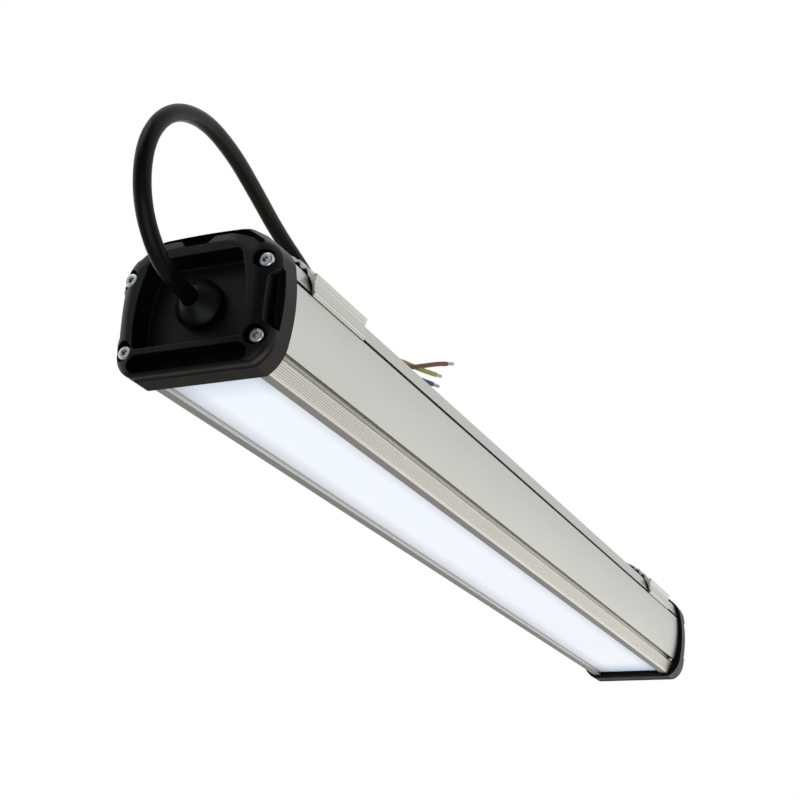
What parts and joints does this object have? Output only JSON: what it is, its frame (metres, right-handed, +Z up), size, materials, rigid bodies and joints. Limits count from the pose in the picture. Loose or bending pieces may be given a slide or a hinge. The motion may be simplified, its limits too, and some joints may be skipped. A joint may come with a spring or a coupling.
{
  "type": "led linear light",
  "caption": "Ceiling light in a long extruded aluminium housing with an opal diffuser, moulded end caps, push-fit mounting clips and a cable with stripped ends.",
  "frame": {"origin": "middle of the two clips' ceiling holes, on the clips' top face", "axes": "+X along the housing, away from the cable end; +Y across; +Z up, out of the clips' top face; the light shines along -Z"},
  "size_m": [0.8744, 0.0976, 0.1396],
  "materials": {
    "anodised_aluminium": "fine brushed, satin anodised",
    "opal_sheet": "opal, lit from behind",
    "black_plastic": "satin moulded",
    "black_rubber": "matte",
    "cable_jacket": "smooth, low sheen",
    "zinc_steel": "bright zinc plated",
    "brown_insulation": "smooth",
    "blue_insulation": "smooth",
    "earth_insulation": "yellow and green, smooth",
    "tinned_copper": "tinned strand",
    "board_white": "white solder mask on aluminium",
    "chip_phosphor": "matte phosphor",
    "driver_case": "moulded",
    "terminal_plastic": "moulded",
    "red_insulation": "smooth",
    "black_insulation": "smooth"
  },
  "bodies": {
    "root": {"housing_profile": "anodised_aluminium", "diffuser": "opal_sheet", "end_cap_gland": "black_plastic", "end_cap_blank": "black_plastic", "gasket_near": "black_rubber", "gasket_far": "black_rubber", "cap_screws_near": "zinc_steel", "cap_screws_far": "zinc_steel", "gland_dome": "black_plastic", "gland_body": "black_plastic", "gland_seal": "black_rubber", "gland_locknut": "black_plastic", "mains_cable": "cable_jacket", "core_brown": "brown_insulation", "core_blue": "blue_insulation", "core_earth": "earth_insulation", "core_brown_tip": "tinned_copper", "core_blue_tip": "tinned_copper", "core_earth_tip": "tinned_copper", "clip_near": "anodised_aluminium", "clip_far": "anodised_aluminium", "led_board": "board_white", "led_chips": "chip_phosphor", "led_board_screws": "zinc_steel", "led_driver": "driver_case", "driver_screws": "zinc_steel", "terminal_block": "terminal_plastic", "inner_brown": "brown_insulation", "inner_blue": "blue_insulation", "inner_earth": "earth_insulation", "driver_lead_brown": "brown_insulation", "driver_lead_blue": "blue_insulation", "led_lead_red": "red_insulation", "led_lead_black": "black_insulation", "earth_screw": "zinc_steel"}
  },
  "joints": []
}
